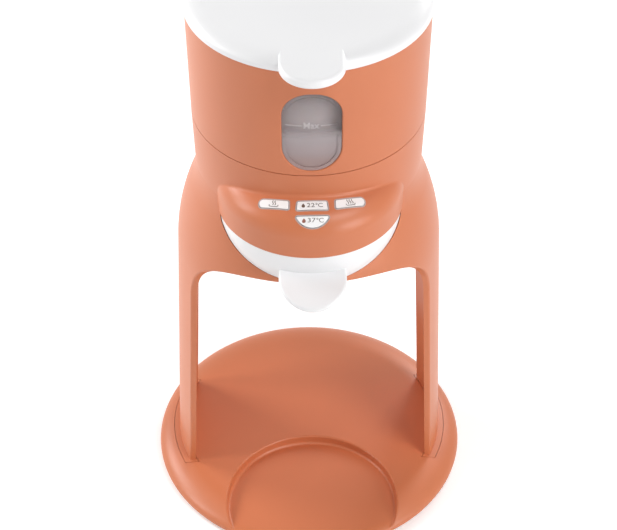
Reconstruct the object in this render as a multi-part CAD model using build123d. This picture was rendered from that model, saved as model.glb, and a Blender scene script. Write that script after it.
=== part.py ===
from build123d import *

import os
from math import atan2, cos, degrees, hypot, radians, sin, sqrt, tan

# Counter-top baby formula maker, in millimetres.
# Origin: centre of the round base, on the table. +Z up, +Y to the back, the controls face -Y.
# A tall round body stands on two crescent legs over the base, with the bottle's place between them.
# The body's axis lies a little behind the centre of the base.

# ---- driving dimensions: base
base_margin = 11.31  # the base's rim beyond the legs
base_underside = 1.0
base_widest_height = 3.2
base_top = 11.2
roll_width = 18.2  # the rolled edge, seen from above
base_wall = 2.5
cover_thickness = 2.0
cover_rim = 4.5  # width of the base's flat bottom rim around the cover
recess_radius = 46.3
recess_overhang = 18.1  # how far the recess would reach past the base's front rim
recess_depth = 5.7
recess_lip_roll = 5.8  # rounding of the floor's open front edge
recess_lip_overrun = 0.4  # the rounding ends this far past the rim, so that it crosses it at an angle
recess_corner = 1.6
recess_rim_round = 0.9
boss_radius = 3.6
rubber_foot_radius = 6.0
rubber_foot_sink = 1.2
rubber_foot_inset = 12.0  # from the base's rim
base_screw_inset = 22.0

# ---- driving dimensions: body and legs
body_y = 4.5
shell_wall = 2.8
arch_height = 174.2  # everything above stands on this
shoulder_rise = 31.8  # from the arch to the neck
neck_radius = 56.6
neck_arc = 35.0  # hollow curve below the neck
shoulder_arc = 112.0  # full curve of the shoulder
shoulder_steepness = 22.6  # degrees from upright, where the two curves meet
leg_lean = 2.35  # degrees from upright
leg_half_width = 30.5  # along Y, from the body's axis
arch_corner = 38.0
leg_edge_round = 1.0
foot_flange = 3.1  # outwards from the leg's outer face
foot_flange_inside = 0.6  # inwards from the leg's inner face
foot_flange_ends = 1.7
foot_gap = 0.25
leg_root = 3.2  # the leg's shell goes this far down into its foot
seam_gap = 0.1
fit_gap = 0.3

# ---- driving dimensions: control housing and hood
band_wall = 2.5
band_rise = 30.1
band_flare = 0.95  # how much wider the band is at its top
skirt_drop = 5.0
skirt_wall = 1.8
ledge_width = 4.25  # carries the tank's seat
ledge_thickness = 2.2
wiring_gate_width = 48.0
wiring_gate_height = 4.0
hood_overhang = 15.5  # how far the hood's front stands out beyond the neck
hood_radius = 45.9
hood_drop = 8.2  # below the neck
hood_wall = 2.4
hood_slope = 24.0
hood_crown_rise = 31.4  # above the neck, where the sloping top would meet the hood's own axis
hood_shoulder = 12.0
hood_blend = 1.6

# ---- driving dimensions: buttons, placed from the hood's axis
button_proud = 0.35
button_depth = 3.6
button_travel = 0.5
button_gap = 0.3
surround_width = 0.45
surround_proud = 0.12
stem_radius = 1.3
stem_length = 2.2
switch_gap = 0.2
row_height = 4.3
row_width = 14.2
side_button_x = 18.0
side_button_reach = 32.9
side_button_turn = 14.8
centre_button_reach = 35.5
lower_button_slope = 46.0
lower_button_width = 15.8
lower_button_drop = 5.4

# ---- driving dimensions: the buttons' board
board_reach = 35.3
board_rise = 5.3  # above the neck
board_tilt = 10.0
board_length = 46.0
board_width = 12.0
board_thickness = 1.6
board_post_x = 9.0
board_post_radius = 1.8
switch_width = 4.2
switch_depth = 3.0
hood_floor_thickness = 1.8

# ---- driving dimensions: drawer
drawer_radius = 45.4
drawer_bowl = 41.0  # radius of the front's curve, from top to bottom
drawer_front_wall = 2.2
drawer_opening_width = 88.0
drawer_opening_drop = 22.2
drawer_gap = 0.4
drawer_length = 58.0  # from the front's foremost point to the tray's back
tray_wall = 1.8
tray_half_width = 39.6
tray_drop = 18.4
runner_reach = 42.6  # from the middle to a runner's outer face
runner_thickness = 1.8
runner_width = 3.0
runner_front = 36.0  # behind the front's foremost point
runner_length = 53.0
runner_drop = 0.6  # below the drawer's top
rail_start = 6.0  # behind the front end of the runners
rail_wall = 1.5
outlet_inset = 14.1  # the outlet's axis, inside the neck's radius
outlet_radius = 4.5
outlet_collar = 3.5
pull_half_width = 16.4
pull_length = 17.6  # beyond the drawer's front
pull_drop = 11.0  # below the drawer's top, at the root
pull_fall = 6.4  # from root to tip
pull_bow = 1.9
pull_thickness = 3.6
pull_round = 1.3

# ---- driving dimensions: tank, sleeve and lid
seam = 0.4
sleeve_rise = 59.5
sleeve_flare = 1.0
sleeve_wall = 2.5
window_width = 27.8
window_height = 44.7
window_rise = 24.9  # the window's middle, above the sleeve's foot
window_corner = 13.2
window_edge_round = 0.6
pane_thickness = 2.2
pane_border = 1.8
pane_flange = 1.2
tank_gap = 4.8  # between the tank's wall and the sleeve
tank_wall = 2.0
tank_corner = 9.0
tank_foot = 4.2  # height of the tank's floor over its seat
tank_foot_radius = 30.0
tank_flange_drop = 1.1  # below the sleeve's rim
tank_flange_thickness = 1.9
tank_port_side_inset = 30.6  # its axis from the neck's side
tank_port_back_inset = 27.1  # its axis from the neck's back
tank_port_radius = 3.0
tank_port_length = 6.8  # below the seat
seat_drop = 1.7  # the seat's top below the sleeve's foot
seat_thickness = 2.2
lid_overhang = 0.65
lid_gap = 0.3
lid_edge_height = 1.6
lid_shoulder_width = 10.0
lid_shoulder_rise = 6.6  # above the sleeve's rim
lid_crown_rise = 8.6
lid_wall = 2.2
lid_skirt_gap = 0.9  # between the skirt and the tank's wall
lid_skirt_wall = 1.8
lid_skirt_drop = 8.0
lid_tab_half_width = 15.1
lid_tab_reach = 14.9
lid_tab_root = 0.5  # where the tab's round end starts, behind the lid's edge
lid_tab_rise = 1.6
lid_tab_round = 1.7
seal_groove = 2.0

# ---- driving dimensions: inside the body
floor_plate_lift = 3.2  # its top above the arch
floor_plate_thickness = 2.2
floor_boss_height = 11.0
floor_screw_inset = 2.2  # from the neck's radius
chassis_drop = 5.0  # its top below the neck
chassis_thickness = 2.0
chassis_post_radius = 3.0
chassis_post_inset = 7.5
spout_drop = 11.2  # below the arch
spout_wall = 1.5
spout_flange = 5.5
rose_back = 4.0  # the shower head behind the outlet
rose_radius = 11.6
rose_flange_radius = 14.0
rose_height = 4.5
rose_wall = 1.4
rose_hole_radius = 0.9
hose_bore = 3.1
hose_wall = 1.5
hose_bend = 8.0
nipple_length = 5.5
pump_radius = 9.5
pump_lift = 11.0  # the pump's axis above the chassis plate
pump_length = 38.0
pump_front = -0.5  # from the body's axis
boiler_side_inset = 34.6  # its axis from the neck's side
boiler_back_inset = 37.1  # its axis from the neck's back
boiler_radius = 20.0
boiler_lift = 2.0
boiler_headroom = 9.8
boiler_corner = 3.0
hose_run = 16.5  # in front of the body's axis
outlet_hose_x = 30.0
inlet_lift = 16.0
inlet_width = 16.0
inlet_height = 9.5
inlet_depth = 12.0
inlet_rim = 1.8
power_board_lift = 2.6
power_board_width = 54.0
power_board_depth = 28.0
power_board_back = 23.5  # its middle behind the body's axis
component_height = 12.0
screw_radius = 1.4
screw_head_radius = 2.8
screw_head_height = 1.1

# ---- worked out from the above
# Half outline of shoulder and leg, as (radius, height): a hollow curve, a full curve, then the straight leg.
steep, lean = radians(shoulder_steepness), radians(leg_lean)
neck_height = arch_height + shoulder_rise
hollow_centre = (neck_radius + neck_arc, neck_height)
full_centre = (
    hollow_centre[0] - (neck_arc + shoulder_arc) * cos(steep),
    hollow_centre[1] - (neck_arc + shoulder_arc) * sin(steep),
)
leg_start = (full_centre[0] + shoulder_arc * cos(lean), full_centre[1] + shoulder_arc * sin(lean))
leg_foot_radius = leg_start[0] + (leg_start[1] - base_top) * tan(lean)
foot_outer_radius = leg_foot_radius + foot_flange
foot_inner_radius = leg_foot_radius - shell_wall - foot_flange_inside
foot_half_width = leg_half_width + foot_flange_ends

base_radius = leg_foot_radius + base_margin
recess_centre = (0, recess_radius - recess_overhang - base_radius)
recess_floor = base_top - recess_depth
cover_top = base_underside + cover_thickness
cover_radius = base_radius - cover_rim

hood_reach = neck_radius + hood_overhang - hood_radius  # from the body's axis to the hood's own axis
hood_y = body_y - hood_reach
hood_bottom = neck_height - hood_drop
hood_crown = neck_height + hood_crown_rise
band_top = neck_height + band_rise
band_top_radius = neck_radius + band_flare
centre_button_y = hood_y - centre_button_reach
side_button_y = hood_y - side_button_reach
board_y = hood_y - board_reach
board_height = neck_height + board_rise

drawer_top = hood_bottom - drawer_gap
drawer_front_y = hood_y - drawer_radius
drawer_back_y = drawer_front_y + drawer_length
runner_top = drawer_top - runner_drop
runner_front_y = drawer_front_y + runner_front
runner_back_y = runner_front_y + runner_length
outlet_y = body_y - neck_radius + outlet_inset

sleeve_bottom = band_top + seam
sleeve_top = sleeve_bottom + sleeve_rise
sleeve_top_radius = band_top_radius + sleeve_flare
window_z = sleeve_bottom + window_rise
seat_top = sleeve_bottom - seat_drop
tank_radius = band_top_radius - sleeve_wall - tank_gap
tank_floor = seat_top + tank_foot
tank_flange_top = sleeve_top - tank_flange_drop
tank_port_x = tank_port_side_inset - neck_radius
tank_port_y = body_y + neck_radius - tank_port_back_inset
tank_port_bottom = seat_top - tank_port_length
lid_radius = sleeve_top_radius + lid_overhang
lid_shoulder_top = sleeve_top + lid_shoulder_rise
lid_crown = sleeve_top + lid_crown_rise
lid_skirt_radius = tank_radius - tank_wall - lid_skirt_gap
lid_tab_y = body_y - lid_radius + lid_tab_root
lid_tab_bottom = sleeve_top + lid_tab_rise

floor_plate_top = arch_height + floor_plate_lift
floor_plate_bottom = floor_plate_top - floor_plate_thickness
floor_boss_top = floor_plate_top + floor_boss_height
chassis_top = neck_height - chassis_drop
chassis_bottom = chassis_top - chassis_thickness
spout_bottom = arch_height - spout_drop
rose_y = outlet_y + rose_back
pump_x = tank_port_x
pump_z = chassis_top + pump_lift
pump_front_y = body_y + pump_front
pump_back_y = pump_front_y + pump_length
boiler_x = neck_radius - boiler_side_inset
boiler_y = body_y + neck_radius - boiler_back_inset
boiler_bottom = chassis_top + boiler_lift
boiler_top = seat_top - boiler_headroom
hose_run_y = body_y - hose_run
outlet_hose_z = boiler_top - nipple_length
inlet_z = chassis_top + inlet_lift

far = 2 * lid_crown  # longer than the whole object: the reach of a cut
bottom_align = (Align.CENTER, Align.CENTER, Align.MIN)


# ---- shapes used by many pieces
def turned(edges, centre_y=0.0):
    """Solid of revolution about a vertical axis, from a closed half section in (radius, height)."""
    section = Plane.XZ * make_face(edges)
    return Pos(0, centre_y, 0) * revolve(section, Axis.Z)


def disc(radius, bottom, top, x=0.0, y=0.0):
    return Pos(x, y, bottom) * Cylinder(radius, top - bottom, align=bottom_align)


def ring(outer, inner, bottom, top, x=0.0, y=0.0):
    return disc(outer, bottom, top, x, y) - disc(inner, bottom - 1, top + 1, x, y)


def block(x_low, x_high, y_low, y_high, z_low, z_high):
    size = (x_high - x_low, y_high - y_low, z_high - z_low)
    return Pos(x_low, y_low, z_low) * Box(*size, align=(Align.MIN, Align.MIN, Align.MIN))


def screw(x, y, head_bottom, tip):
    """Pan-head screw standing upright, driven from below."""
    return disc(screw_head_radius, head_bottom, head_bottom + screw_head_height, x, y) + disc(
        screw_radius, head_bottom, tip, x, y
    )


def screw_hole(x, y, head_bottom, tip, head_room=0.1):
    """Room for a screw: a counterbore for its head and a bore for its shank."""
    return disc(screw_head_radius + head_room, head_bottom - 1, head_bottom + screw_head_height, x, y) + disc(
        screw_radius + 0.05, head_bottom - 1, tip + 0.3, x, y
    )


def apart(shapes):
    """Several separate solids that share one node."""
    return Compound(children=[solid for shape in shapes for solid in shape.solids()])


# ---- base
def base_form(wall=0.0, bottom=base_underside):
    """The base's outer form, or with a wall its inside: flat top, wide rolled edge, small round below."""
    rim = base_radius - wall
    roll_centre = base_radius - roll_width
    top = base_top - wall
    lower_round = base_widest_height - bottom
    below = CenterArc((rim - lower_round, base_widest_height), lower_round, -90, 90)
    if wall > 0:
        below = Line((rim, bottom), (rim, base_widest_height))
    edges = [
        Line((0, bottom), below @ 0),
        below,
        EllipticalCenterArc(
            (roll_centre, base_widest_height), roll_width - wall, top - base_widest_height, 0, arc_size=90
        ),
        Line((roll_centre, top), (0, top)),
        Line((0, top), (0, bottom)),
    ]
    return turned(edges)


def recess_form():
    """What lies below the recess: a lower form whose flat floor rolls off at the open front."""
    reach = base_radius + recess_lip_overrun
    roll_centre = base_radius - recess_lip_roll
    drop = recess_floor - base_widest_height
    edges = [
        Line((0, base_underside), (reach, base_underside)),
        Line((reach, base_underside), (reach, base_widest_height)),
        EllipticalCenterArc((roll_centre, base_widest_height), reach - roll_centre, drop, 0, arc_size=90),
        Line((roll_centre, recess_floor), (0, recess_floor)),
        Line((0, recess_floor), (0, base_underside)),
    ]
    return turned(edges)


def recess_cut():
    well = disc(recess_radius, recess_floor - 4, base_top + 5, *recess_centre)
    cut = well - recess_form()
    floor_edge = cut.edges().filter_by(GeomType.CIRCLE).filter_by(
        lambda e: abs(e.radius - recess_radius) < 0.01 and abs(e.center().Z - recess_floor) < 0.01
    )
    return fillet(floor_edge, recess_corner)


def foot_sectors(grow=0.0, bottom=cover_top, top=base_top + 6):
    """The two curved feet of the legs, seen from above, as prisms."""
    band = ring(foot_outer_radius + grow, foot_inner_radius - grow, bottom, top, 0, body_y)
    half = foot_half_width + grow
    return band & block(-far, far, body_y - half, body_y + half, bottom, top)


def around(reach, angles, centre_y=0.0):
    """Places on a circle, by their angles from +X."""
    return [(reach * cos(radians(angle)), centre_y + reach * sin(radians(angle))) for angle in angles]


base_screw_places = around(base_radius - base_screw_inset, (50, 130, 205, 335))
rubber_foot_places = around(base_radius - rubber_foot_inset, (45, 135, 225, 315))
leg_screw_offset = 18.0  # along Y, either side of the body's axis
leg_screw_x = sqrt(((foot_inner_radius + foot_outer_radius) / 2) ** 2 - leg_screw_offset**2)
leg_screw_places = [
    (side * leg_screw_x, body_y + along) for side in (-1, 1) for along in (-leg_screw_offset, leg_screw_offset)
]
screw_tip = base_top - base_wall - 0.8


recess_rim_low = recess_floor + recess_corner + 0.3  # the wall's lower edges lie below this, its rim above


def lies_on_recess_wall(edge):
    places = [edge @ part for part in (0, 0.25, 0.5, 0.75, 1)]
    return all(abs(hypot(p.X - recess_centre[0], p.Y - recess_centre[1]) - recess_radius) < 0.02 for p in places)


def make_base_plate():
    hollow = base_form(base_wall, cover_top) - disc(
        recess_radius + base_wall, 0, base_top, *recess_centre
    )
    plate = base_form() - recess_cut()
    rim = [edge for edge in plate.edges() if lies_on_recess_wall(edge) and (edge @ 0.5).Z > recess_rim_low]
    plate = fillet(rim, recess_rim_round) - hollow - disc(cover_radius, 0, cover_top)
    for x, y in base_screw_places:
        plate += disc(boss_radius, cover_top, base_top - base_wall / 2, x, y)
        plate -= screw_hole(x, y, base_underside, screw_tip)
    return plate - foot_sectors(foot_gap)


def make_base_bottom_cover():
    cover = disc(cover_radius - 0.2, base_underside, cover_top)
    for x, y in base_screw_places + leg_screw_places:
        cover -= screw_hole(x, y, base_underside, cover_top)
    for x, y in rubber_foot_places:
        cover -= disc(rubber_foot_radius + 0.1, 0, base_underside + rubber_foot_sink, x, y)
    return cover


def make_rubber_feet():
    feet = [disc(rubber_foot_radius, 0, base_underside + rubber_foot_sink, x, y) for x, y in rubber_foot_places]
    return apart([chamfer(foot.edges().group_by(Axis.Z)[0], 0.4) for foot in feet])


def make_base_screws():
    return apart([screw(x, y, base_underside, screw_tip) for x, y in base_screw_places])


def make_leg_screws():
    return apart([screw(x, y, base_underside, screw_tip) for x, y in leg_screw_places])


# ---- legs and shoulders
def shell_form(inset=0.0, bottom=base_top - leg_root):
    """Outer form of neck, shoulders and legs, a solid of revolution about the body's axis, or one inset from it."""
    turn = shoulder_steepness - leg_lean
    hollow = CenterArc(hollow_centre, neck_arc + inset, 180, shoulder_steepness)
    full = CenterArc(full_centre, shoulder_arc - inset, shoulder_steepness, -turn)
    leg_end = ((full @ 1).X + ((full @ 1).Y - bottom) * tan(lean), bottom)
    edges = [
        hollow,
        full,
        Line(full @ 1, leg_end),
        Line(leg_end, (0, bottom)),
        Line((0, bottom), (0, neck_height)),
        Line((0, neck_height), hollow @ 0),
    ]
    return turned(edges, body_y)


def arch_cut(front):
    """What is taken away in front of the legs, or behind them: a tall gate with a large round corner."""
    side = -1 if front else 1
    leg_edge = body_y + side * leg_half_width
    corner_y = leg_edge + side * arch_corner
    corner_z = arch_height - arch_corner
    outside = side * far
    start = 0 if front else 90
    edges = [
        Line((outside, -1), (leg_edge, -1)),
        Line((leg_edge, -1), (leg_edge, corner_z)),
        CenterArc((corner_y, corner_z), arch_corner, start, 90),
        Line((corner_y, arch_height), (outside, arch_height)),
        Line((outside, arch_height), (outside, -1)),
    ]
    return extrude(Plane.YZ * make_face(edges), far / 2, both=True)


def drawer_window(gap=0.0, back=-12.0):
    """The drawer's outline seen from the front, a half ellipse under a flat top, run along Y."""
    half_width = drawer_opening_width / 2 + gap
    top = drawer_top + gap
    bow = EllipticalCenterArc((0, top), half_width, drawer_opening_drop + 2 * gap, 180, arc_size=180)
    return extrude(Plane.XZ.offset(-back) * make_face([bow, Line(bow @ 1, bow @ 0)]), far)


floor_screw_places = around(neck_radius - floor_screw_inset, (33, 147, 200, 340), body_y)


def make_leg_housing():
    form = shell_form() - arch_cut(True) - arch_cut(False)
    outer_edges = form.edges().filter_by(GeomType.HYPERBOLA) + form.edges().filter_by(GeomType.BSPLINE)
    shell = fillet(outer_edges, leg_edge_round) - shell_form(shell_wall)
    shell -= drawer_window(drawer_gap)
    feet = base_form(bottom=cover_top) & foot_sectors()
    housing = shell + feet
    for x, y in floor_screw_places:
        out = hypot(x, y - body_y)
        web = Pos(x, y, floor_plate_top) * Rot(0, 0, degrees(atan2(y - body_y, x)))
        lug = disc(boss_radius, floor_plate_top, floor_boss_top, x, y)
        lug += web * Box(
            out / 3, boss_radius * 2, floor_boss_height, align=(Align.MIN, Align.CENTER, Align.MIN)
        )
        housing += lug & shell_form(shell_wall / 2)
    for x, y in floor_screw_places:
        housing -= screw_hole(x, y, floor_plate_bottom, floor_boss_top - 2)
    for x, y in leg_screw_places:
        housing -= screw_hole(x, y, base_underside, screw_tip)
    return housing


def make_floor_plate():
    """Closes the body from below, between the legs."""
    plate = disc(far, floor_plate_bottom, floor_plate_top) & shell_form(shell_wall + fit_gap)
    plate -= disc(outlet_radius + spout_wall * 2 + 0.2, 0, far, 0, outlet_y)
    for x, y in floor_screw_places:
        plate -= screw_hole(x, y, floor_plate_bottom, floor_plate_top)
    return plate


def make_floor_screws():
    return apart([screw(x, y, floor_plate_bottom, floor_boss_top - 2.3) for x, y in floor_screw_places])


def make_spout():
    """Funnel-shaped outlet held in the floor plate, over the bottle."""
    flange = outlet_radius + spout_flange
    neck = outlet_radius + 2 * spout_wall
    mouth = outlet_radius - 0.5
    top = floor_plate_top + 0.6
    edges = [
        Line((outlet_radius + spout_wall, top), (flange, top)),
        Line((flange, top), (flange, floor_plate_top)),
        Line((flange, floor_plate_top), (neck, floor_plate_top)),
        Line((neck, floor_plate_top), (neck, floor_plate_top - 5)),
        Line((neck, floor_plate_top - 5), (mouth + spout_wall, spout_bottom)),
        Line((mouth + spout_wall, spout_bottom), (mouth, spout_bottom)),
        Line((mouth, spout_bottom), (outlet_radius + spout_wall, top)),
    ]
    return turned(edges, outlet_y)


# ---- control housing: band, hood and their trim
def band_radius(height):
    lean = (band_top_radius - neck_radius) / (band_top - neck_height)
    return neck_radius + lean * (height - neck_height)


def sleeve_radius(height):
    lean = (sleeve_top_radius - band_top_radius) / (sleeve_top - band_top)
    return band_top_radius + lean * (height - band_top)


def barrel(radius_at, bottom, top, inset):
    """Slightly flared round body between two heights."""
    low, high = radius_at(bottom) - inset, radius_at(top) - inset
    edges = [
        Line((0, bottom), (low, bottom)),
        Line((low, bottom), (high, top)),
        Line((high, top), (0, top)),
        Line((0, top), (0, bottom)),
    ]
    return turned(edges, body_y)


def band_form(inset=0.0, bottom=neck_height, top=band_top):
    return barrel(band_radius, bottom, top, inset)


def sleeve_form(inset=0.0, bottom=sleeve_bottom, top=sleeve_top):
    return barrel(sleeve_radius, bottom, top, inset)


shoulder_radius = hood_radius - hood_shoulder
shoulder_height = (
    hood_crown - hood_shoulder / cos(radians(hood_slope)) - shoulder_radius * tan(radians(hood_slope))
)


def dome(grow=0.0, bottom=hood_bottom):
    """The hood's form about its own axis: upright side, round shoulder, sloping top."""
    slope = radians(hood_slope)
    side = hood_radius + grow
    reach = hood_shoulder + grow
    arc_end = (shoulder_radius + reach * sin(slope), shoulder_height + reach * cos(slope))
    crown = hood_crown + grow / cos(slope)
    edges = [
        Line((0, bottom), (side, bottom)),
        Line((side, bottom), (side, shoulder_height)),
        CenterArc((shoulder_radius, shoulder_height), reach, 0, 90 - hood_slope),
        Line(arc_end, (0, crown)),
        Line((0, crown), (0, bottom)),
    ]
    return turned(edges, hood_y)


def surface_frame(x, y, z, slope, turn):
    """A plane that touches the hood at a point, its x along the button and its z out of the hood."""
    out = hypot(x, y - hood_y)
    tilt = radians(slope)
    normal = Vector(sin(tilt) * x / out, sin(tilt) * (y - hood_y) / out, cos(tilt))
    along_x, along_y = cos(radians(turn)), sin(radians(turn))
    along_z = -(normal.X * along_x + normal.Y * along_y) / normal.Z
    return Plane(origin=(x, y, z), x_dir=(along_x, along_y, along_z), z_dir=normal)


def cone_height(x, y):
    return hood_crown - hypot(x, y - hood_y) * tan(radians(hood_slope))


def centre_outline(grow):
    """A slightly tapered bar, wider towards the front."""
    half_top, half_low, half_high = row_width / 2 - 0.3, row_width / 2 + 0.3, row_height / 2
    outline = Polygon((-half_low, -half_high), (half_low, -half_high), (half_top, half_high), (-half_top, half_high))
    return offset(fillet(outline.vertices(), 0.7), grow) if grow else fillet(outline.vertices(), 0.7)


def side_outline(side):
    """A bar with a round outer end and a slanted inner end."""

    def outline(grow):
        half, high, slant = row_width / 2, row_height / 2 - 0.1, 0.35
        bar = Polygon(
            (side * half, -high),
            (side * half, high),
            (-side * (half - slant), high),
            (-side * (half + slant), -high),
            align=None,
        )
        outer = bar.vertices().filter_by(lambda v: v.X * side > 0)
        bar = fillet(outer, high - 0.15)
        inner = [v for v in bar.vertices() if v.X * side < -half / 2]
        bar = fillet(inner, 0.6)
        return offset(bar, grow) if grow else bar

    return outline


def lower_outline(grow):
    """A segment of a circle under a straight chord."""
    half, drop = lower_button_width / 2, lower_button_drop
    top = drop / 2
    chord = Line((-half, top), (half, top))
    bow = ThreePointArc((half, top), (0, top - drop), (-half, top))
    outline = make_face([chord, bow])
    outline = fillet(outline.vertices(), 0.6)
    return offset(outline, grow) if grow else outline


lower_button_y = hood_y - shoulder_radius - hood_shoulder * sin(radians(lower_button_slope))
lower_button_z = shoulder_height + hood_shoulder * cos(radians(lower_button_slope))
buttons = {
    "button_left": (
        surface_frame(
            -side_button_x, side_button_y, cone_height(side_button_x, side_button_y), hood_slope, -side_button_turn
        ),
        side_outline(-1),
    ),
    "button_centre": (
        surface_frame(0, centre_button_y, cone_height(0, centre_button_y), hood_slope, 0),
        centre_outline,
    ),
    "button_right": (
        surface_frame(
            side_button_x, side_button_y, cone_height(side_button_x, side_button_y), hood_slope, side_button_turn
        ),
        side_outline(1),
    ),
    "button_lower": (
        surface_frame(0, lower_button_y, lower_button_z, lower_button_slope, 0),
        lower_outline,
    ),
}


def prism(name, grow):
    """A button's outline run through the hood's wall, square to the hood's face."""
    frame, outline = buttons[name]
    return extrude(frame.offset(-button_depth - 1) * outline(grow), button_depth + 4, dir=frame.z_dir)


def body_core(grow=0.0):
    """Everything inside the outer faces of band and shoulders, for trimming what stands on them."""
    return shell_form(-grow) + band_form(-grow)


def hood_block(bottom):
    """The space in front of the hood's axis, up to just below the top of the band."""
    return block(-far, far, -far, hood_y, bottom, band_top - 5)


def make_control_housing():
    """Round band with the sloping hood in front, one moulding, open below and above."""
    outer = band_form() + (dome() & hood_block(neck_height))
    outer = fillet(outer.edges().filter_by(GeomType.BSPLINE), hood_blend)
    outer += (dome() & block(-far, far, -far, hood_y, hood_bottom, neck_height)) - shell_form(-seam_gap)
    hood_cavity = (dome(-hood_wall, hood_bottom - 1) & hood_block(0)) - band_form()
    shell = outer - band_form(band_wall, neck_height - 1, band_top + 1) - hood_cavity
    skirt_outer = neck_radius - shell_wall - fit_gap
    skirt = ring(skirt_outer, skirt_outer - skirt_wall, neck_height - skirt_drop, neck_height + 1, 0, body_y)
    skirt += ring(neck_radius - band_wall + 0.5, skirt_outer - skirt_wall, neck_height, neck_height + 2, 0, body_y)
    half_gate = wiring_gate_width / 2
    skirt -= block(-half_gate - 6, half_gate + 6, -far, hood_y, 0, neck_height + 5)
    ledge_top = seat_top - seat_thickness
    ledge_outer = band_top_radius - band_wall + 0.2
    ledge = ring(ledge_outer, ledge_outer - ledge_width, ledge_top - ledge_thickness, ledge_top, 0, body_y)
    ledge &= band_form(band_wall / 2)
    wiring_gate = block(-half_gate, half_gate, -far, hood_y, neck_height + 1, neck_height + 1 + wiring_gate_height)
    shell -= wiring_gate & band_form(-0.3)
    for name in buttons:
        shell -= prism(name, button_gap + surround_width)
    inlet_hole = block(
        -inlet_width / 2 - 0.2, inlet_width / 2 + 0.2, 50, far,
        inlet_z - inlet_height / 2 - 0.2, inlet_z + inlet_height / 2 + 0.2,
    )
    return (shell + skirt + ledge) - inlet_hole


def make_button_surrounds():
    rings = []
    for name in buttons:
        sleeve = prism(name, button_gap + surround_width - 0.02) - prism(name, button_gap)
        rings.append(sleeve & (dome(surround_proud) - dome(-hood_wall, hood_bottom - 1)))
    return apart(rings)


def make_button(name):
    """Cap that follows the hood, with a flange behind the hood's wall and a stem to its switch."""
    frame, outline = buttons[name]
    cap = prism(name, 0) & (dome(button_proud) - dome(-button_depth, hood_bottom - 1))
    flange = prism(name, button_gap + surround_width) & (
        dome(-hood_wall - fit_gap) - dome(-button_depth, hood_bottom - 1)
    )
    stem = extrude(frame.offset(-button_depth - stem_length) * Circle(stem_radius), stem_length + 0.6)
    return cap + stem + (flange - body_core(fit_gap + button_travel))


board_frame = Plane(
    origin=(0, board_y, board_height),
    x_dir=(1, 0, 0),
    z_dir=(0, -sin(radians(board_tilt)), cos(radians(board_tilt))),
)


def make_hood_floor():
    """Closes the hood from below, in front of the shoulders, with two posts for the buttons' board."""
    bottom = hood_bottom + 0.4
    plate = disc(hood_radius - hood_wall - fit_gap / 2, bottom, bottom + hood_floor_thickness, 0, hood_y)
    plate &= block(-far, far, -far, hood_y, 0, far)
    for x in (-board_post_x, board_post_x):
        plate += disc(board_post_radius, bottom, board_height + 5, x, board_y)
    above = extrude(board_frame.offset(-board_thickness) * Rectangle(60, 30), 20)
    return plate - shell_form(-fit_gap) - above


def make_button_board():
    board = extrude(board_frame * Rectangle(board_length, board_width), -board_thickness)
    return (board & dome(-hood_wall - fit_gap, 0)) - body_core(fit_gap)


def make_tact_switches():
    """One small switch on the board below each button's stem."""
    switches = []
    for frame, _ in buttons.values():
        stem_end = frame.origin - frame.z_dir * (button_depth + stem_length)
        place = board_frame.to_local_coords(stem_end)
        stem_lean = sqrt(1 - frame.z_dir.dot(board_frame.z_dir) ** 2)
        height = place.Z - stem_radius * stem_lean - button_travel - switch_gap
        switch = Box(switch_width, switch_depth, height, align=bottom_align)
        switches.append(board_frame * Pos(place.X, place.Y, 0) * switch)
    return apart(switches)


# ---- drawer
def bowl_form(inset=0.0, top=drawer_top):
    """The drawer front's form about the hood's axis: upright at the top and curving in below."""
    depth = drawer_opening_drop + 6
    bottom = drawer_top - depth
    reach = drawer_bowl - inset
    centre_r = drawer_radius - drawer_bowl
    low_r = centre_r + sqrt(reach**2 - depth**2)
    middle = radians(-20)
    bow = ThreePointArc(
        (centre_r + reach, drawer_top),
        (centre_r + reach * cos(middle), drawer_top + reach * sin(middle)),
        (low_r, bottom),
    )
    edges = [
        bow,
        Line((low_r, bottom), (0, bottom)),
        Line((0, bottom), (0, drawer_top)),
        Line((0, drawer_top), (centre_r + reach, drawer_top)),
    ]
    form = turned(edges, hood_y)
    return form & disc(far, 0, top) if top < drawer_top else form


def pull_form():
    """The drawer's thumb pull: a D-shaped tongue that bows down towards its tip."""
    root_y = drawer_front_y + 6
    pull_tip_y = drawer_front_y - pull_length
    pull_top = drawer_top - pull_drop
    pull_tip_height = pull_top - pull_fall
    centre_y = pull_tip_y + pull_half_width
    plan_edges = [
        Line((-pull_half_width, root_y), (-pull_half_width, centre_y)),
        CenterArc((0, centre_y), pull_half_width, 180, 180),
        Line((pull_half_width, centre_y), (pull_half_width, root_y)),
        Line((pull_half_width, root_y), (-pull_half_width, root_y)),
    ]
    plan = extrude(make_face(plan_edges), far)
    middle_y = (root_y + pull_tip_y) / 2
    middle_top = (pull_top + pull_tip_height) / 2 + pull_bow
    top = ThreePointArc((root_y, pull_top), (middle_y, middle_top), (pull_tip_y - 1, pull_tip_height - 0.4))
    low = ThreePointArc(
        (pull_tip_y - 1, pull_tip_height - 0.4 - pull_thickness),
        (middle_y, middle_top - pull_thickness),
        (root_y, pull_top - pull_thickness),
    )
    edges = [
        top,
        Line(top @ 1, low @ 0),
        low,
        Line(low @ 1, top @ 0),
    ]
    side = extrude(Plane.YZ * make_face(edges), far / 2, both=True)
    tongue = plan & side
    outer = [e for e in tongue.edges() if e.center().Y < root_y - 0.5]
    return fillet(outer, pull_round)


def make_drawer_front():
    """White crescent with the thumb pull."""
    window = drawer_window(back=hood_y - 12)
    crescent = (bowl_form() - bowl_form(drawer_front_wall)) & window
    pull = pull_form() - bowl_form(drawer_front_wall / 2)
    return crescent + pull


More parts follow.
